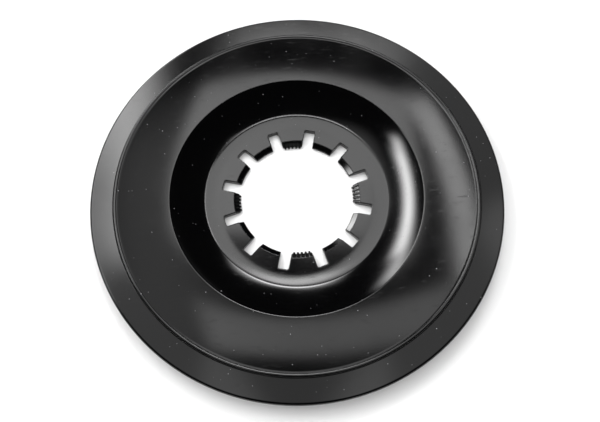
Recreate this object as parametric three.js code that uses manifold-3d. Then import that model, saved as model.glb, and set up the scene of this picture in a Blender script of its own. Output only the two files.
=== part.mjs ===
// Spoke protector: the dished plastic disc that sits between a bicycle's largest rear sprocket and
// its spokes, and clips over the hub flange with twelve short fingers round its bore.
// Millimetres. +Z is the disc's axis, pointing away from the wheel, towards the sprockets. The origin
// is on the axis, in the plane of the web's flat back, on which the disc lies.

import * as THREE from "three";
import { mergeVertices } from "three/addons/utils/BufferGeometryUtils.js";
import Module from "manifold-3d";

const wasm = await Module();
wasm.setup();

// Driving dimensions of the disc.
const RIM_RADIUS = 75; // outside of the disc
const THICKNESS = 2.2; // moulded wall, measured along the axis
const FLAT_RADIUS = 28.3; // edge of the flat web, where its gentle dishing begins
const DISHING_END_RADIUS = 33.2;
const DISHING_ANGLE = THREE.MathUtils.degToRad(6.2); // slope of the web where the dishing ends
const WALL_FOOT_RADIUS = 34.6; // end of the bend between the web and the wall
const WALL_FOOT_ANGLE = THREE.MathUtils.degToRad(18); // slope of the wall at its foot
const WALL_TOP_RADIUS = 46; // sharp edge between the wall and the shelf
const WALL_TOP_ANGLE = THREE.MathUtils.degToRad(34); // slope of the wall at its top
const SHELF_FOOT_ANGLE = THREE.MathUtils.degToRad(2); // slope of the shelf where it leaves the wall
const SHELF_TOP_ANGLE = 0; // the shelf has levelled out at the bead
const BEAD_RADIUS = 0.8; // section radius of the round bead
const BEAD_CENTRE_RADIUS = 65.55;
const BEAD_STAND = 0.3; // crest of the bead above the shelf
const FLANGE_DROP_ANGLE = THREE.MathUtils.degToRad(8.7); // outer flange, sloping back to the rim

// Driving dimensions of the bore.
const FINGER_COUNT = 12;
const HINGE_RADIUS = 27; // where a finger's root joins the web
const ROOT_GAP = 0.3; // clearance between each finger and the web
const BORE_RADIUS = 23.2; // edge of the web's front face at a finger
const NOTCH_WIDTH = 3.9; // gap between two fingers
const NOTCH_END_RADIUS = 27.7; // closed end of a notch
const NOTCH_CORNER = 0.6; // round inner corners of a notch
const LIP_RADIUS = 21.35; // inside of the lips, which grip the hub
const LIP_ROUND = 0.5; // round nose of a lip, half its thickness
const LIP_STEP = 0.3; // lip's front face below the web's front face, where the two meet
const LIP_SLOPE = THREE.MathUtils.degToRad(26); // the lip's front face, falling towards the axis
const LEAD_IN_RADIUS = 22.9; // where the sloping face behind a lip reaches the web's back
const EDGE_BREAK = 0.2; // small bevel on the web's edge

// Driving dimensions of the teeth on every third finger.
const CATCH_EVERY = 3;
const TOOTH_OFFSETS = [-2.8, -1.4, 0, 1.4, 2.8]; // across the finger
const TOOTH_WIDTH = 0.8;
const TOOTH_REACH = 0.7; // past the lip, towards the axis
const TOOTH_HEIGHT = 0.8;
const TOOTH_ROOT = 1; // how far a tooth is bedded in its lip

// Worked out from the dimensions above.
const WEB_FRONT = THICKNESS;
const BEAD_SIDE_ANGLE = SHELF_TOP_ANGLE + Math.acos(1 - BEAD_STAND / BEAD_RADIUS);
const SHELF_END_RADIUS = BEAD_CENTRE_RADIUS - BEAD_RADIUS * Math.sin(BEAD_SIDE_ANGLE);
const DISHING_RISE = climb(DISHING_END_RADIUS - FLAT_RADIUS, 0, DISHING_ANGLE);
const FOOT_RISE = climb(WALL_FOOT_RADIUS - DISHING_END_RADIUS, DISHING_ANGLE, WALL_FOOT_ANGLE);
const WALL_RISE = climb(WALL_TOP_RADIUS - WALL_FOOT_RADIUS, WALL_FOOT_ANGLE, WALL_TOP_ANGLE);
const SHELF_RISE = climb(SHELF_END_RADIUS - WALL_TOP_RADIUS, SHELF_FOOT_ANGLE, SHELF_TOP_ANGLE);
const BEAD_RISE = DISHING_RISE + FOOT_RISE + WALL_RISE + SHELF_RISE;
const BEAD_CENTRE_RISE = BEAD_RISE - BEAD_RADIUS * Math.cos(BEAD_SIDE_ANGLE);
const NOSE_RADIUS = THICKNESS / 2;
const NOSE_CENTRE_RADIUS = RIM_RADIUS - NOSE_RADIUS;
const FLANGE_FOOT_RADIUS = BEAD_CENTRE_RADIUS + BEAD_RADIUS;
const FLANGE_DROP = (NOSE_CENTRE_RADIUS - FLANGE_FOOT_RADIUS) * Math.tan(FLANGE_DROP_ANGLE);
const RIM_RISE = BEAD_CENTRE_RISE - FLANGE_DROP;
const LIP_CENTRE_RADIUS = LIP_RADIUS + LIP_ROUND;
const LIP_FALL = (BORE_RADIUS - LIP_CENTRE_RADIUS) * Math.tan(LIP_SLOPE);
const LIP_CENTRE_HEIGHT = WEB_FRONT - LIP_STEP - LIP_FALL - LIP_ROUND / Math.cos(LIP_SLOPE);
const FINGER_PITCH = (2 * Math.PI) / FINGER_COUNT;

const DISC_SEGMENTS = 72;
const RING_SEGMENTS = 96;
const QUARTER = Math.PI / 2;

// A geometry with its shared vertices merged, as a solid.
function solid(geometry) {
  const bare = geometry.index ? geometry.toNonIndexed() : geometry.clone();
  bare.deleteAttribute("normal");
  bare.deleteAttribute("uv");
  const merged = mergeVertices(bare, 1e-4);
  const mesh = new wasm.Mesh({
    numProp: 3,
    vertProperties: merged.attributes.position.array,
    triVerts: new Uint32Array(merged.index.array),
  });
  return new wasm.Manifold(mesh);
}

// How far a face climbs over a run in which its slope changes steadily from one angle to another.
function climb(run, fromSlope, toSlope) {
  return run * Math.tan((fromSlope + toSlope) / 2);
}

// A solid as a geometry that a mesh can hold.
function geometryOf(body) {
  const mesh = body.getMesh();
  const geometry = new THREE.BufferGeometry();
  geometry.setAttribute("position", new THREE.BufferAttribute(mesh.vertProperties, 3));
  geometry.setIndex(new THREE.BufferAttribute(mesh.triVerts, 1));
  const faceted = geometry.toNonIndexed();
  faceted.computeVertexNormals();
  return faceted;
}

// A ring turned about Z from a closed outline of radius and height, listed anticlockwise.
function turned(outline, segments) {
  const profile = [...outline, outline[0].clone()];
  const ring = new THREE.LatheGeometry(profile, segments);
  ring.rotateX(QUARTER);
  return solid(ring);
}

// A flat plan outline, raised from one height to another.
function raised(shape, low, high) {
  const extrusion = { depth: high - low, bevelEnabled: false, curveSegments: 4 };
  const prism = new THREE.ExtrudeGeometry(shape, extrusion);
  prism.translate(0, 0, low);
  return solid(prism);
}

// Points of a path without the doubled points where its curves meet.
function distinctPoints(path, divisions) {
  const points = path.getPoints(divisions);
  return points.filter((p, i) => i === 0 || p.distanceTo(points[i - 1]) > 1e-3);
}

// Carries a face out to a radius on an arc, from one slope to another.
function bendTo(face, endRadius, fromSlope, toSlope) {
  const start = face.currentPoint.clone();
  const bend = (endRadius - start.x) / (Math.sin(toSlope) - Math.sin(fromSlope));
  const centreX = start.x - bend * Math.sin(fromSlope);
  const centreY = start.y + bend * Math.cos(fromSlope);
  const side = bend > 0 ? -QUARTER : QUARTER;
  face.absarc(centreX, centreY, Math.abs(bend), fromSlope + side, toSlope + side, bend < 0);
}

// The dished face from the web out to the rim, at a height above or below the front face. The front
// carries the bead; the back is plain there.
function dishedFace(shift, withBead) {
  const face = new THREE.Path();
  const web = WEB_FRONT + shift;
  face.moveTo(HINGE_RADIUS + ROOT_GAP / 2, web);
  face.lineTo(FLAT_RADIUS, web);
  bendTo(face, DISHING_END_RADIUS, 0, DISHING_ANGLE);
  bendTo(face, WALL_FOOT_RADIUS, DISHING_ANGLE, WALL_FOOT_ANGLE);
  bendTo(face, WALL_TOP_RADIUS, WALL_FOOT_ANGLE, WALL_TOP_ANGLE);
  bendTo(face, SHELF_END_RADIUS, SHELF_FOOT_ANGLE, SHELF_TOP_ANGLE);
  if (withBead) {
    const side = QUARTER + BEAD_SIDE_ANGLE;
    face.absarc(BEAD_CENTRE_RADIUS, web + BEAD_CENTRE_RISE, BEAD_RADIUS, side, 0, true);
  }
  face.lineTo(FLANGE_FOOT_RADIUS, web + BEAD_CENTRE_RISE);
  face.lineTo(NOSE_CENTRE_RADIUS, web + RIM_RISE);
  return distinctPoints(face, 3);
}

// The round edge of the rim, from the back face up to the front face.
function rimNose() {
  const nose = new THREE.Path();
  const centre = WEB_FRONT + RIM_RISE - NOSE_RADIUS;
  nose.absarc(NOSE_CENTRE_RADIUS, centre, NOSE_RADIUS, -QUARTER, QUARTER, false);
  return nose.getPoints(2).slice(1, -1);
}

// One notch's plan, pointing along +X, with round corners at its closed end.
function notchPlan() {
  const half = NOTCH_WIDTH / 2;
  const inside = LIP_RADIUS - 2 * TOOTH_REACH;
  const cornerX = NOTCH_END_RADIUS - NOTCH_CORNER;
  const cornerY = half - NOTCH_CORNER;
  const plan = new THREE.Shape();
  plan.moveTo(inside, -half);
  plan.lineTo(cornerX, -half);
  plan.absarc(cornerX, -cornerY, NOTCH_CORNER, -QUARTER, 0, false);
  plan.lineTo(NOTCH_END_RADIUS, cornerY);
  plan.absarc(cornerX, cornerY, NOTCH_CORNER, 0, QUARTER, false);
  plan.lineTo(inside, half);
  plan.closePath();
  return plan;
}

// The dished disc, with the closed ends of the notches cut into its web.
function discBody() {
  const back = dishedFace(-THICKNESS, false);
  const front = dishedFace(0, true).reverse();
  let body = turned([...back, ...rimNose(), ...front], DISC_SEGMENTS);
  const notch = raised(notchPlan(), -1, WEB_FRONT + 1);
  for (let i = 0; i < FINGER_COUNT; i++) {
    const degrees = THREE.MathUtils.radToDeg((i + 0.5) * FINGER_PITCH);
    body = body.subtract(notch.rotate([0, 0, degrees]));
  }
  return body;
}

// The section of a finger: a plate in the web's plane, a step, and a sloping lip with a round nose and
// a lead-in behind.
function fingerSection() {
  const root = HINGE_RADIUS - ROOT_GAP / 2;
  const section = new THREE.Path();
  section.moveTo(root, 0);
  section.lineTo(root, WEB_FRONT);
  section.lineTo(BORE_RADIUS + EDGE_BREAK, WEB_FRONT);
  section.lineTo(BORE_RADIUS, WEB_FRONT - EDGE_BREAK);
  section.lineTo(BORE_RADIUS, WEB_FRONT - LIP_STEP);
  section.absarc(LIP_CENTRE_RADIUS, LIP_CENTRE_HEIGHT, LIP_ROUND, QUARTER + LIP_SLOPE, 3 * QUARTER, false);
  section.lineTo(LEAD_IN_RADIUS, 0);
  return distinctPoints(section, 3);
}

// The plan of one finger, between two notches, pointing along +X from the axis.
function fingerPlan() {
  const plan = new THREE.Shape();
  const along = FINGER_PITCH / 2;
  const half = NOTCH_WIDTH / 2;
  const side = (distance, sign) => {
    const x = distance * Math.cos(along) + half * Math.sin(along);
    const y = distance * Math.sin(along) - half * Math.cos(along);
    return [x, sign * y];
  };
  plan.moveTo(...side(LIP_RADIUS / 2, -1));
  plan.lineTo(...side(NOTCH_END_RADIUS, -1));
  plan.lineTo(...side(NOTCH_END_RADIUS, 1));
  plan.lineTo(...side(LIP_RADIUS / 2, 1));
  plan.closePath();
  return plan;
}

// One finger, pointing along +X from the axis.
function fingerBody() {
  const ring = turned(fingerSection(), RING_SEGMENTS);
  const plan = raised(fingerPlan(), -1, WEB_FRONT + 1);
  return ring.intersect(plan);
}

// One pointed tooth, standing on a lip towards the axis.
function toothBody() {
  const bed = LIP_RADIUS + TOOTH_ROOT;
  const shoulder = LIP_RADIUS - TOOTH_REACH / 2;
  const tip = LIP_RADIUS - TOOTH_REACH;
  const section = new THREE.Shape();
  section.moveTo(bed, -TOOTH_HEIGHT / 2);
  section.lineTo(bed, TOOTH_HEIGHT / 2);
  section.lineTo(shoulder, TOOTH_HEIGHT / 2);
  section.lineTo(tip, 0);
  section.lineTo(shoulder, -TOOTH_HEIGHT / 2);
  section.closePath();
  const prism = new THREE.ExtrudeGeometry(section, { depth: TOOTH_WIDTH, bevelEnabled: false });
  prism.rotateX(QUARTER);
  prism.translate(0, TOOTH_WIDTH / 2, LIP_CENTRE_HEIGHT);
  return solid(prism);
}

// A finger with its row of teeth.
function catchBody() {
  const tooth = toothBody();
  return TOOTH_OFFSETS.reduce((body, y) => body.add(tooth.translate([0, y, 0])), fingerBody());
}

function blackPlastic(roughness) {
  return new THREE.MeshStandardMaterial({ color: 0x0b0b0c, roughness, metalness: 0 });
}

function named(name, geometry, roughness) {
  const mesh = new THREE.Mesh(geometry, blackPlastic(roughness));
  mesh.name = name;
  return mesh;
}

const plainFinger = geometryOf(fingerBody());
const catchFinger = geometryOf(catchBody());

const group = new THREE.Group();
group.add(named("disc", geometryOf(discBody()), 0.18));
for (let i = 0; i < FINGER_COUNT; i++) {
  const isCatch = i % CATCH_EVERY === 0;
  const name = (isCatch ? "catch_finger_" : "snap_finger_") + String(i + 1).padStart(2, "0");
  const finger = named(name, isCatch ? catchFinger : plainFinger, 0.25);
  finger.rotation.z = i * FINGER_PITCH;
  group.add(finger);
}

export default group;
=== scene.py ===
"""The looks of a spoke protector disc: one glossy black moulding, its twelve bore fingers, and a studio.

Lengths are in millimetres until they reach Blender, which works in metres. The disc's axis is Z.
"""

import math

import bmesh
import bpy
from mathutils import Matrix, Vector


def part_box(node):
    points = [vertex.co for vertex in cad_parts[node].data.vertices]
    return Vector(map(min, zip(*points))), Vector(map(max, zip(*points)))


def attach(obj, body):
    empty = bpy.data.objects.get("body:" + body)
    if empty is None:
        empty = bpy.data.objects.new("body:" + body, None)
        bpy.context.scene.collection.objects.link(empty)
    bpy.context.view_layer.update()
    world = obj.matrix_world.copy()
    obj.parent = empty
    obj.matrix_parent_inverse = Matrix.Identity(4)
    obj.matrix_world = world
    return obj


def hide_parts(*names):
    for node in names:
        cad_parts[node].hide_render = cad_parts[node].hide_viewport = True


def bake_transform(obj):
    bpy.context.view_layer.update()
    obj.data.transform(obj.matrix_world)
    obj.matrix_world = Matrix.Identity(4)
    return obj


MM = 0.001

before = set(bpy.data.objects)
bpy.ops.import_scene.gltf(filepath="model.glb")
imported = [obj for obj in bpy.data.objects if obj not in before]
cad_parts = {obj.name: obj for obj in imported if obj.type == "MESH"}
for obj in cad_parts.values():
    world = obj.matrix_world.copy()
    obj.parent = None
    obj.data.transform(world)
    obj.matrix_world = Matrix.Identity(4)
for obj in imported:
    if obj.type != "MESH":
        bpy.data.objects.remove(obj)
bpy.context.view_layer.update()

# Sizes of the moulding, in millimetres. The rim's radius is the frame's own.
RIM_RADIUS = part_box("disc")[1].x / MM
THICKNESS = 2.2
WEB_FRONT = THICKNESS
FLAT_RADIUS = 28.3
DISHING_END_RADIUS = 33.2
DISHING_ANGLE = math.radians(6.2)
WALL_FOOT_RADIUS = 34.6
WALL_FOOT_ANGLE = math.radians(18)
WALL_TOP_RADIUS = 46.0
WALL_TOP_ANGLE = math.radians(34)
SHELF_FOOT_ANGLE = math.radians(2)
SHELF_TOP_ANGLE = 0.0
BEAD_RADIUS = 0.8
BEAD_CENTRE_RADIUS = 65.55
BEAD_STAND = 0.298
FLANGE_DROP_ANGLE = math.radians(8.7)

BEAD_SIDE_ANGLE = SHELF_TOP_ANGLE + math.acos(1 - BEAD_STAND / BEAD_RADIUS)
SHELF_END_RADIUS = BEAD_CENTRE_RADIUS - BEAD_RADIUS * math.sin(BEAD_SIDE_ANGLE)
NOSE_RADIUS = THICKNESS / 2
NOSE_CENTRE_RADIUS = RIM_RADIUS - NOSE_RADIUS
FLANGE_FOOT_RADIUS = BEAD_CENTRE_RADIUS + BEAD_RADIUS

# Sizes of the bore and its fingers.
FINGER_COUNT = 12
FINGER_PITCH = math.radians(360 / FINGER_COUNT)
SEAM_RADIUS = 27.0
BORE_RADIUS = 23.2
NOTCH_HALF_WIDTH = 1.95
NOTCH_END_RADIUS = 27.7
NOTCH_CORNER = 0.6
LIP_RADIUS = 21.35
LIP_ROUND = 0.5
LIP_STEP = 0.3
LIP_SLOPE = math.radians(26)
LEAD_IN_RADIUS = 22.9
CATCH_EVERY = 3
TOOTH_OFFSETS = (-2.8, -1.4, 0.0, 1.4, 2.8)
TOOTH_FOOT_HALF_WIDTH = 0.5
TOOTH_STEEPNESS = 2.2
TOOTH_REACH = 0.7

# Small roundings that a mould leaves on its edges.
EDGE_WIDTH = 0.38
EDGE_DEPTH = 0.19
CREST_ROUND = 0.8
STEP_ROUND = 0.2
STEP_FOOT_ROUND = 0.08
FOOT_ROUND = 0.3
LIP_EDGE_ROUND = 0.4
LEAD_IN_ROUND = 0.3

# Narrow strips beside the roundings, which keep flat faces flat when they are shaded.
FLAT_MARGIN = 0.02
FLANGE_MARGIN = 0.05

# How finely the curves are cut, and what counts as one point or a sharp edge.
WELD_DISTANCE = 0.001
SHARP_ANGLE = math.radians(50)
SEAM_STEPS = 20
EDGE_STEPS = 4
FINGER_COLUMNS = 96


# ---------------------------------------------------------------- outlines


def arc(centre, radius, start, end, steps):
    """Points on a circle from one angle to another, both ends included."""
    points = []
    for i in range(steps + 1):
        angle = start + (end - start) * i / steps
        points.append((centre[0] + radius * math.cos(angle), centre[1] + radius * math.sin(angle)))
    return points


def rounded(corners, steps=EDGE_STEPS):
    """A closed outline through corners given as (x, y, radius), each rounded to its radius.

    A further point either side of each rounding keeps the flats beside it flat when they are shaded.
    """
    points = []
    for i, (x, y, radius) in enumerate(corners):
        here = Vector((x, y))
        if radius == 0:
            points.append((x, y))
            continue
        before = (Vector(corners[i - 1][:2]) - here).normalized()
        after = (Vector(corners[(i + 1) % len(corners)][:2]) - here).normalized()
        half = before.angle(after) / 2
        centre = here + (before + after).normalized() * (radius / math.sin(half))
        first = here + before * (radius / math.tan(half)) - centre
        last = here + after * (radius / math.tan(half)) - centre
        turn = first.angle_signed(last)
        points.append(tuple(centre + first + before * FLAT_MARGIN))
        for k in range(steps + 1):
            spoke = Matrix.Rotation(-turn * k / steps, 2) @ first
            points.append(tuple(centre + spoke))
        points.append(tuple(centre + last + after * FLAT_MARGIN))
    return points


def bend(start, end_radius, from_slope, to_slope):
    """The arc that carries a face from a start out to a radius, from one slope to another.

    Returns its centre, its radius and its end. The radius is negative where the face bends down.
    """
    radius = (end_radius - start[0]) / (math.sin(to_slope) - math.sin(from_slope))
    centre = Vector((start[0] - radius * math.sin(from_slope), start[1] + radius * math.cos(from_slope)))
    end = Vector((end_radius, start[1] + (end_radius - start[0]) * math.tan((from_slope + to_slope) / 2)))
    return centre, radius, end


def crossing(first, first_reach, second, second_reach):
    """Where two circles cross, on the left of the line from the first centre to the second."""
    apart = (second - first).length
    along = (apart**2 + first_reach**2 - second_reach**2) / (2 * apart)
    axis = (second - first) / apart
    side = Vector((-axis.y, axis.x))
    return first + axis * along + side * math.sqrt(first_reach**2 - along**2)


def front_face():
    """The dished front face as (radius, height), from the flat web out to the bead."""
    quarter = math.pi / 2
    dishing, dishing_arc, end = bend((FLAT_RADIUS, WEB_FRONT), DISHING_END_RADIUS, 0, DISHING_ANGLE)
    foot, foot_arc, end = bend(end, WALL_FOOT_RADIUS, DISHING_ANGLE, WALL_FOOT_ANGLE)
    wall, wall_arc, end = bend(end, WALL_TOP_RADIUS, WALL_FOOT_ANGLE, WALL_TOP_ANGLE)
    shelf, shelf_arc, end = bend(end, SHELF_END_RADIUS, SHELF_FOOT_ANGLE, SHELF_TOP_ANGLE)
    # The wall's top edge is rounded by a small circle, clear of the wall's circle and inside the shelf's.
    crest = crossing(wall, wall_arc + CREST_ROUND, shelf, -shelf_arc - CREST_ROUND)
    wall_end = math.atan2(crest.y - wall.y, crest.x - wall.x)
    shelf_start = math.atan2(crest.y - shelf.y, crest.x - shelf.x)
    face = arc(dishing, dishing_arc, -quarter, DISHING_ANGLE - quarter, 16)
    face += arc(foot, foot_arc, DISHING_ANGLE - quarter, WALL_FOOT_ANGLE - quarter, 10)[1:]
    face += arc(wall, wall_arc, WALL_FOOT_ANGLE - quarter, wall_end, 28)[1:]
    face += arc(crest, CREST_ROUND, wall_end + math.pi, shelf_start, 8)[1:]
    face += arc(shelf, -shelf_arc, shelf_start, SHELF_TOP_ANGLE + quarter, 24)[1:]
    return face


def bead_centre():
    """The middle of the bead's round section, set by where the shelf ends."""
    end = (FLAT_RADIUS, WEB_FRONT)
    end = bend(end, DISHING_END_RADIUS, 0, DISHING_ANGLE)[2]
    end = bend(end, WALL_FOOT_RADIUS, DISHING_ANGLE, WALL_FOOT_ANGLE)[2]
    end = bend(end, WALL_TOP_RADIUS, WALL_FOOT_ANGLE, WALL_TOP_ANGLE)[2]
    end = bend(end, SHELF_END_RADIUS, SHELF_FOOT_ANGLE, SHELF_TOP_ANGLE)[2]
    return Vector((BEAD_CENTRE_RADIUS, end.y - BEAD_RADIUS * math.cos(BEAD_SIDE_ANGLE)))


def bead_and_flange():
    """The round bead, its foot and the sloping flange, up to where the rim's nose begins."""
    quarter = math.pi / 2
    bead = bead_centre()
    along = Vector((math.cos(FLANGE_DROP_ANGLE), -math.sin(FLANGE_DROP_ANGLE)))
    out = Vector((-along.y, along.x))
    # Where a circle that rests on the flange also touches the bead.
    a = BEAD_RADIUS * along.x
    b = 2 * BEAD_RADIUS * FOOT_ROUND * (1 - out.x)
    run = math.sqrt(a * a + b) - a
    foot = Vector((FLANGE_FOOT_RADIUS, bead.y)) + along * run + out * FOOT_ROUND
    towards = foot - bead
    meet = math.atan2(towards.y, towards.x)
    points = arc(bead, BEAD_RADIUS, quarter + BEAD_SIDE_ANGLE, meet, 16)[1:]
    points += arc(foot, FOOT_ROUND, meet - math.pi, -quarter - FLANGE_DROP_ANGLE, 5)[1:]
    return points


def rim_nose():
    """The round edge of the rim, from the flange's front over to its back."""
    drop = (NOSE_CENTRE_RADIUS - FLANGE_FOOT_RADIUS) * math.tan(FLANGE_DROP_ANGLE)
    centre = (NOSE_CENTRE_RADIUS, bead_centre().y - drop - NOSE_RADIUS)
    lean = math.pi / 2 - FLANGE_DROP_ANGLE
    return arc(centre, NOSE_RADIUS, lean, -lean, 14)


def disc_profile():
    """The moulding's section from the flat web's front, out round the rim, and back to the web's back."""
    front = front_face()
    flange = bead_and_flange()
    nose = rim_nose()
    along = (Vector(nose[0]) - Vector(flange[-1])).normalized() * FLANGE_MARGIN
    margins = [tuple(Vector(flange[-1]) + along), tuple(Vector(nose[0]) - along)]
    back = [(r, z - THICKNESS) for r, z in front]
    back.append((FLANGE_FOOT_RADIUS, bead_centre().y - THICKNESS))
    under = (Vector(nose[-1]) - Vector(back[-1])).normalized() * FLANGE_MARGIN
    back.append(tuple(Vector(nose[-1]) - under))
    return front + flange + margins + nose + back[::-1]


def edge_levels():
    """How an edge rounds: (distance in from the side, distance down from the face), side to face."""
    levels = []
    for k in range(EDGE_STEPS + 1):
        angle = math.pi / 2 * k / EDGE_STEPS
        levels.append((EDGE_WIDTH * (1 - math.cos(angle)), EDGE_DEPTH * (1 - math.sin(angle))))
    levels.append((EDGE_WIDTH + FLAT_MARGIN, 0.0))
    return levels


def bore_outline(inset):
    """One twelfth of the disc's inner outline: a finger's seam, then a notch's closed end, grown by inset."""
    half = NOTCH_HALF_WIDTH + inset
    corner = NOTCH_CORNER + inset
    corner_x = NOTCH_END_RADIUS - NOTCH_CORNER
    corner_y = half - corner
    seam_half = FINGER_PITCH / 2 - math.asin(half / SEAM_RADIUS)
    seam = arc((0, 0), SEAM_RADIUS, -seam_half, seam_half, SEAM_STEPS)
    mouth = (math.sqrt(SEAM_RADIUS**2 - half**2), -half)
    notch = [mouth]
    notch.append(((mouth[0] + corner_x) / 2, -half))
    notch += arc((corner_x, -corner_y), corner, -math.pi / 2, 0, 5)
    notch.append((corner_x + corner, 0.0))
    notch += arc((corner_x, corner_y), corner, 0, math.pi / 2, 5)
    notch.append(((mouth[0] + corner_x) / 2, half))
    turn = Matrix.Rotation(FINGER_PITCH / 2, 2)
    return seam + [tuple(turn @ Vector(p)) for p in notch[1:]]


def finger_section(reach):
    """A finger's closed section as (radius, height), with its lip brought in by reach for a tooth."""
    lip = LIP_RADIUS - reach
    step = WEB_FRONT - LIP_STEP
    nose = step - (BORE_RADIUS - LIP_RADIUS) * math.tan(LIP_SLOPE)
    under = step - (BORE_RADIUS - LIP_RADIUS - LIP_ROUND) * math.tan(LIP_SLOPE)
    under -= LIP_ROUND / math.cos(LIP_SLOPE) + LIP_ROUND
    corners = [
        (SEAM_RADIUS, WEB_FRONT, 0),
        (BORE_RADIUS, WEB_FRONT, STEP_ROUND),
        (BORE_RADIUS, step, STEP_FOOT_ROUND),
        (lip, nose, LIP_EDGE_ROUND),
        (lip, under, LIP_EDGE_ROUND),
        (LEAD_IN_RADIUS, 0, LEAD_IN_ROUND),
        (SEAM_RADIUS, 0, 0),
    ]
    return rounded(corners)


# ---------------------------------------------------------------- meshes


def mesh_object(name, vertices, faces):
    """A smooth-shaded object from vertices in millimetres, with normals weighted by face area."""
    mesh = bpy.data.meshes.new(name)
    mesh.from_pydata([Vector(v) * MM for v in vertices], [], faces)
    build = bmesh.new()
    build.from_mesh(mesh)
    bmesh.ops.remove_doubles(build, verts=build.verts, dist=WELD_DISTANCE * MM)
    bmesh.ops.recalc_face_normals(build, faces=build.faces)
    build.to_mesh(mesh)
    build.free()
    mesh.shade_smooth()
    obj = bpy.data.objects.new(name, mesh)
    bpy.context.scene.collection.objects.link(obj)
    mesh.set_sharp_from_angle(angle=SHARP_ANGLE)
    weigh = obj.modifiers.new("face_weights", "WEIGHTED_NORMAL")
    weigh.mode = "FACE_AREA"
    weigh.keep_sharp = True
    apply_modifiers(obj)
    return obj


def apply_modifiers(obj):
    graph = bpy.context.evaluated_depsgraph_get()
    final = bpy.data.meshes.new_from_object(obj.evaluated_get(graph), depsgraph=graph)
    obj.modifiers.clear()
    obj.data = final
    final.name = obj.name


def spun(radius, angle, height):
    return (radius * math.cos(angle), radius * math.sin(angle), height)


def ring_faces(rings):
    """Quads between neighbouring closed rings of vertex numbers."""
    faces = []
    for inner, outer in zip(rings, rings[1:]):
        count = len(inner)
        for i in range(count):
            j = (i + 1) % count
            faces.append((inner[i], outer[i], outer[j], inner[j]))
    return faces


def make_disc():
    """The dished body: a turned profile, closed round the bore by the fingers' seams and notch ends."""
    vertices = []
    rings = []

    def add_ring(points):
        rings.append(list(range(len(vertices), len(vertices) + len(points))))
        vertices.extend(points)

    def add_outline(inset, height):
        twelfth = bore_outline(inset)
        points = []
        for k in range(FINGER_COUNT):
            turn = Matrix.Rotation(k * FINGER_PITCH, 2)
            points += [(*(turn @ Vector(p)), height) for p in twelfth]
        add_ring(points)

    levels = edge_levels()
    for inset, depth in levels:
        add_outline(inset, WEB_FRONT - depth)
    columns = len(rings[0])
    start = -2 * math.pi * (SEAM_STEPS / 2) / columns
    for radius, height in disc_profile():
        add_ring([spun(radius, start + 2 * math.pi * k / columns, height) for k in range(columns)])
    for inset, depth in levels[::-1]:
        add_outline(inset, depth)
    rings.append(rings[0])
    return mesh_object("visual_disc", vertices, ring_faces(rings))


def tooth_reach(across):
    """How far the lip comes in at a place across a catch finger, tooth by tooth."""
    reach = 0.0
    for offset in TOOTH_OFFSETS:
        inside = 1 - abs(across - offset) / TOOTH_FOOT_HALF_WIDTH
        if inside > 0:
            reach = TOOTH_REACH * min(1.0, inside * TOOTH_STEEPNESS)
    return reach


def inset_section(section, inset):
    """A closed section pulled in by inset, with its two seam corners kept on the seam's radius."""
    count = len(section)
    pulled = []
    for i, (r, z) in enumerate(section):
        before = Vector(section[i]) - Vector(section[i - 1])
        after = Vector(section[(i + 1) % count]) - Vector(section[i])
        normal = Vector((-before.y, before.x)).normalized() + Vector((-after.y, after.x)).normalized()
        normal.normalize()
        if r == SEAM_RADIUS:
            pulled.append((r, z - math.copysign(inset, z - THICKNESS / 2)))
        else:
            pulled.append((r + normal.x * inset, z + normal.y * inset))
    return pulled


def make_finger(name, number, toothed):
    """One finger: its section swept across between two notches, with rounded sides."""
    vertices = []
    loops = []
    middle = number * FINGER_PITCH

    def add_loop(section, inset, side, share):
        loop = []
        for r, z in section:
            half = FINGER_PITCH / 2 - math.asin((NOTCH_HALF_WIDTH + inset) / r)
            loop.append(len(vertices))
            vertices.append(spun(r, middle + side * half * share, z))
        loops.append(loop)

    levels = edge_levels()
    plain = finger_section(0)
    for inset, depth in levels:
        add_loop(inset_section(plain, depth), inset, -1, 1)
    flat_inset = levels[-1][0]
    lip_half = LIP_RADIUS * (FINGER_PITCH / 2 - math.asin((NOTCH_HALF_WIDTH + flat_inset) / LIP_RADIUS))
    for i in range(1, FINGER_COLUMNS):
        share = 2 * i / FINGER_COLUMNS - 1
        reach = tooth_reach(share * lip_half) if toothed else 0
        add_loop(finger_section(reach), flat_inset, 1, share)
    for inset, depth in levels[::-1]:
        add_loop(inset_section(plain, depth), inset, 1, 1)
    faces = ring_faces(loops)
    faces.append(tuple(loops[0]))
    faces.append(tuple(loops[-1][::-1]))
    return mesh_object(name, vertices, faces)


# ---------------------------------------------------------------- materials

CLEAN_COLOUR = (0.0008, 0.0008, 0.0009, 1)
DUST_COLOUR = (0.3, 0.3, 0.31, 1)
FLOOR_COLOUR = (0.7, 0.7, 0.7, 1)
SATIN_FADE = 0.4 * MM
SATIN_ROUGHNESS = 0.05


def value_range(nodes, links, source, low, high, to_low, to_high):
    """A Map Range node fed by source; returns its result."""
    node = nodes.new("ShaderNodeMapRange")
    node.inputs["From Min"].default_value = low
    node.inputs["From Max"].default_value = high
    node.inputs["To Min"].default_value = to_low
    node.inputs["To Max"].default_value = to_high
    links.new(source, node.inputs["Value"])
    return node.outputs["Result"]


def noise(nodes, links, place, scale, detail):
    """A Noise node; returns its value."""
    node = nodes.new("ShaderNodeTexNoise")
    node.inputs["Scale"].default_value = scale
    node.inputs["Detail"].default_value = detail
    links.new(place, node.inputs["Vector"])
    return node.outputs["Fac"]


def combine(nodes, links, operation, first, second):
    """A Math node on two sockets; returns its value."""
    node = nodes.new("ShaderNodeMath")
    node.operation = operation
    links.new(first, node.inputs[0])
    links.new(second, node.inputs[1])
    return node.outputs["Value"]


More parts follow.
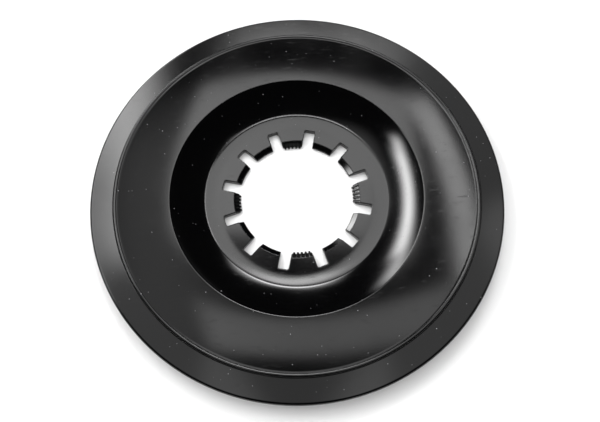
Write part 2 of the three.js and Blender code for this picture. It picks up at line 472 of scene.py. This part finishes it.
def black_plastic():
    """Glossy moulded plastic: nearly black, with uneven gloss, a satin flange, hairlines and dust."""
    material = bpy.data.materials.new("moulded_black_plastic")
    material.use_nodes = True
    nodes = material.node_tree.nodes
    links = material.node_tree.links
    shader = nodes["Principled BSDF"]
    shader.inputs["IOR"].default_value = 1.5
    place = nodes.new("ShaderNodeTexCoord").outputs["Object"]

    # The mould's flange is a little more satin than its bowl.
    flat = nodes.new("ShaderNodeVectorMath")
    flat.operation = "MULTIPLY"
    flat.inputs[1].default_value = (1, 1, 0)
    links.new(place, flat.inputs[0])
    reach = nodes.new("ShaderNodeVectorMath")
    reach.operation = "LENGTH"
    links.new(flat.outputs["Vector"], reach.inputs[0])
    foot = FLANGE_FOOT_RADIUS * MM
    from_axis = reach.outputs["Value"]
    satin = value_range(nodes, links, from_axis, foot - SATIN_FADE, foot + SATIN_FADE, 0.0, SATIN_ROUGHNESS)

    patches = noise(nodes, links, place, 45, 4)
    uneven = value_range(nodes, links, patches, 0.3, 0.75, 0.08, 0.125)
    gloss = combine(nodes, links, "ADD", uneven, satin)

    # Hairlines run across the disc along X, as a cloth leaves them.
    drawn_out = nodes.new("ShaderNodeVectorMath")
    drawn_out.operation = "MULTIPLY"
    drawn_out.inputs[1].default_value = (0.25, 1, 1)
    links.new(place, drawn_out.inputs[0])
    lines = noise(nodes, links, drawn_out.outputs["Vector"], 900, 6)
    rubbed = value_range(nodes, links, lines, 0.6, 0.72, 0.0, 0.06)
    links.new(combine(nodes, links, "ADD", gloss, rubbed), shader.inputs["Roughness"])

    # Dust lies in specks, thicker in some places than in others.
    specks = nodes.new("ShaderNodeTexVoronoi")
    specks.inputs["Scale"].default_value = 420
    links.new(place, specks.inputs["Vector"])
    dots = value_range(nodes, links, specks.outputs["Distance"], 0.05, 0.09, 1.0, 0.0)
    where = value_range(nodes, links, noise(nodes, links, place, 160, 2), 0.5, 0.66, 0.0, 0.7)
    colour = nodes.new("ShaderNodeMix")
    colour.data_type = "RGBA"
    colour.inputs["A"].default_value = CLEAN_COLOUR
    colour.inputs["B"].default_value = DUST_COLOUR
    links.new(combine(nodes, links, "MULTIPLY", dots, where), colour.inputs["Factor"])
    links.new(colour.outputs["Result"], shader.inputs["Base Color"])

    bump = nodes.new("ShaderNodeBump")
    bump.inputs["Strength"].default_value = 0.03
    bump.inputs["Distance"].default_value = 0.0001
    links.new(noise(nodes, links, place, 2500, 2), bump.inputs["Height"])
    links.new(bump.outputs["Normal"], shader.inputs["Normal"])
    return material


def floor_material():
    material = bpy.data.materials.new("pale_floor")
    material.use_nodes = True
    shader = material.node_tree.nodes["Principled BSDF"]
    shader.inputs["Base Color"].default_value = FLOOR_COLOUR
    shader.inputs["Roughness"].default_value = 0.8
    return material


# ---------------------------------------------------------------- studio

# The camera's distance is from the middle of the web, and its lean is from the disc's axis. The whole
# studio, camera and lights alike, is turned a little about that axis.
CAMERA_DISTANCE = 277.8
CAMERA_LEAN = math.radians(21.88)
CAMERA_LEAN_TOWARDS = math.radians(91.1)
CAMERA_LENS = 45.24
CAMERA_SHIFT = (0.005, -0.02275)
STUDIO_TURN = Matrix.Rotation(math.radians(-4.74), 3, "Z")
FLOOR_HALF_WIDTH = 3000.0
FLOOR_GAP = 0.02


def make_floor():
    mesh = bpy.data.meshes.new("floor")
    half = FLOOR_HALF_WIDTH * MM
    low = -FLOOR_GAP * MM
    corners = [(-half, -half, low), (half, -half, low), (half, half, low), (-half, half, low)]
    mesh.from_pydata(corners, [], [(0, 1, 2, 3)])
    floor = bpy.data.objects.new("floor", mesh)
    bpy.context.scene.collection.objects.link(floor)
    floor.data.materials.append(floor_material())


def soften(light, width, height, edge):
    """Fades a light's rectangle out over twice the edge's width, either side of its nominal outline."""
    light.use_nodes = True
    nodes = light.node_tree.nodes
    links = light.node_tree.links
    emission = nodes["Emission"]
    spot = nodes.new("ShaderNodeNewGeometry")
    split = nodes.new("ShaderNodeSeparateXYZ")
    links.new(spot.outputs["Parametric"], split.inputs["Vector"])
    strength = None
    for axis, nominal in (("X", width), ("Y", height)):
        share = nominal / (nominal + 4 * edge)
        reach = 4 * edge / (nominal + 4 * edge)
        for low, high in (((1 - share) / 2, 1), (1 - (1 - share) / 2, -1)):
            fade = nodes.new("ShaderNodeMapRange")
            fade.interpolation_type = "SMOOTHSTEP"
            fade.inputs["From Min"].default_value = low - high * reach / 2
            fade.inputs["From Max"].default_value = low + high * reach / 2
            links.new(split.outputs[axis], fade.inputs["Value"])
            if strength is None:
                strength = fade.outputs["Result"]
                continue
            product = nodes.new("ShaderNodeMath")
            product.operation = "MULTIPLY"
            links.new(strength, product.inputs[0])
            links.new(fade.outputs["Result"], product.inputs[1])
            strength = product.outputs["Value"]
    links.new(strength, emission.inputs["Strength"])


def face_at(radius):
    """The front face's height and slope at a radius. The web counts as flat right across the bore."""
    line = [(0.0, WEB_FRONT)] + front_face() + bead_and_flange() + rim_nose()
    for (near, low), (far, high) in zip(line, line[1:]):
        if near <= radius < far:
            return low + (high - low) * (radius - near) / (far - near), math.atan2(high - low, far - near)
    raise ValueError("no front face at that radius")


def softbox(name, azimuth, radius, turn, distance, width, height, radiance, edge):
    """A soft-edged area light, hung where the camera sees it mirrored at a place on the disc.

    The place is an azimuth in degrees, anticlockwise from the camera's right, and a radius.
    The light's distance from it, its width, height and soft edge are millimetres.
    """
    light = bpy.data.lights.new(name, "AREA")
    light.shape = "RECTANGLE"
    light.size = (width + 4 * edge) * MM
    light.size_y = (height + 4 * edge) * MM
    light.energy = radiance * math.pi * light.size * light.size_y
    soften(light, width, height, edge)
    lamp = bpy.data.objects.new(name, light)
    bpy.context.scene.collection.objects.link(lamp)
    around = Matrix.Rotation(math.radians(azimuth), 3, "Z")
    level, slope = face_at(radius)
    place = around @ Vector((radius, 0, level))
    normal = around @ Vector((-math.sin(slope), 0, math.cos(slope)))
    towards = (place - camera_place()).reflect(normal).normalized()
    across = Vector((0, 1, 0)).cross(towards).normalized()
    facing = Matrix((across, towards.cross(across), towards)).transposed()
    facing = STUDIO_TURN @ facing @ Matrix.Rotation(math.radians(turn), 3, "Z")
    lamp.location = STUDIO_TURN @ (place + towards * distance) * MM
    lamp.rotation_mode = "QUATERNION"
    lamp.rotation_quaternion = facing.to_quaternion()
    lamp.visible_camera = False


def make_world(air, gloss):
    """Even pale air that lights the floor and fills the view, and shows only faintly in reflections."""
    world = bpy.data.worlds.new("room")
    world.use_nodes = True
    nodes = world.node_tree.nodes
    links = world.node_tree.links
    path = nodes.new("ShaderNodeLightPath")
    level = nodes.new("ShaderNodeMapRange")
    level.inputs["To Min"].default_value = air
    level.inputs["To Max"].default_value = gloss
    links.new(path.outputs["Is Glossy Ray"], level.inputs["Value"])
    links.new(level.outputs["Result"], nodes["Background"].inputs["Strength"])
    nodes["Background"].inputs["Color"].default_value = (1, 1, 1, 1)
    bpy.context.scene.world = world


def camera_lean():
    """The turn that leans the camera back from the disc's axis, in the studio's frame."""
    hinge = Vector((-math.sin(CAMERA_LEAN_TOWARDS), math.cos(CAMERA_LEAN_TOWARDS), 0))
    return Matrix.Rotation(-CAMERA_LEAN, 3, hinge)


def camera_place():
    """Where the camera stands in the studio's frame, in millimetres."""
    return Vector((0, 0, WEB_FRONT)) + camera_lean() @ Vector((0, 0, CAMERA_DISTANCE))


def make_camera():
    camera = bpy.data.cameras.new("camera")
    camera.lens = CAMERA_LENS
    camera.sensor_width = 36
    camera.shift_x, camera.shift_y = CAMERA_SHIFT
    holder = bpy.data.objects.new("camera", camera)
    bpy.context.scene.collection.objects.link(holder)
    holder.location = STUDIO_TURN @ camera_place() * MM
    holder.rotation_mode = "QUATERNION"
    holder.rotation_quaternion = (STUDIO_TURN @ camera_lean()).to_quaternion()
    bpy.context.scene.camera = holder


def make_studio():
    """The lights, each named for what it does and hung by the place on the disc that mirrors it.

    The first seven began as panels from a fit made outside this script, then were rounded and adjusted.
    The five fills were placed one by one, at strengths that started from the same fit.
    """
    # An even bank fills the flat web, except its foot.
    softbox("web_bank", 90, 10, turn=-4, distance=600, width=210, height=150, radiance=3.2, edge=5)
    # A bright crescent runs along the web's lower edge.
    softbox("crescent_lamp", 270, 32, turn=-20, distance=180, width=24, height=14, radiance=8, edge=2)
    softbox("crescent_bank", 262, 34.3, turn=-8, distance=3000, width=1000, height=200, radiance=40, edge=160)
    # A tall strip lights the left flange and the right of the wall, with a window glowing behind it.
    softbox("tall_strip", 155, 70, turn=10, distance=315, width=34, height=380, radiance=13, edge=18)
    softbox("far_window", 0, 40.5, turn=5, distance=2500, width=300, height=2200, radiance=12.5, edge=90)
    # Narrow and low banks show on the shelf.
    softbox("shelf_right_bank", 0, 58, turn=20, distance=1400, width=90, height=400, radiance=6, edge=5)
    softbox("shelf_low_bank", 285, 54, turn=0, distance=490, width=240, height=60, radiance=1.8, edge=5)
    softbox("shelf_left_fill", 205, 56, turn=0, distance=500, width=140, height=260, radiance=0.8, edge=30)
    # Dim fills keep the flange grey. They hang so near that the wall doesn't mirror them as well.
    softbox("flange_left_fill", 225, 70, turn=-50, distance=110, width=190, height=50, radiance=0.9, edge=4)
    softbox("flange_low_fill", 270, 70, turn=0, distance=110, width=120, height=50, radiance=0.7, edge=4)
    softbox("flange_corner_fill", 315, 70, turn=50, distance=110, width=190, height=50, radiance=0.9, edge=4)
    softbox("flange_right_fill", 15, 70, turn=15, distance=80, width=40, height=200, radiance=0.75, edge=4)


# ---------------------------------------------------------------- the scene

make_camera()
make_floor()
make_world(air=0.8, gloss=0.004)
make_studio()
bpy.context.scene.view_settings.view_transform = "Standard"

plastic = black_plastic()
disc = make_disc()
disc.data.materials.append(plastic)
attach(disc, "disc")
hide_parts("disc")

for number in range(FINGER_COUNT):
    toothed = number % CATCH_EVERY == 0
    node = ("catch_finger_" if toothed else "snap_finger_") + f"{number + 1:02d}"
    finger = make_finger("visual_" + node, number, toothed)
    finger.data.materials.append(plastic)
    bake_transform(finger)
    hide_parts(node)
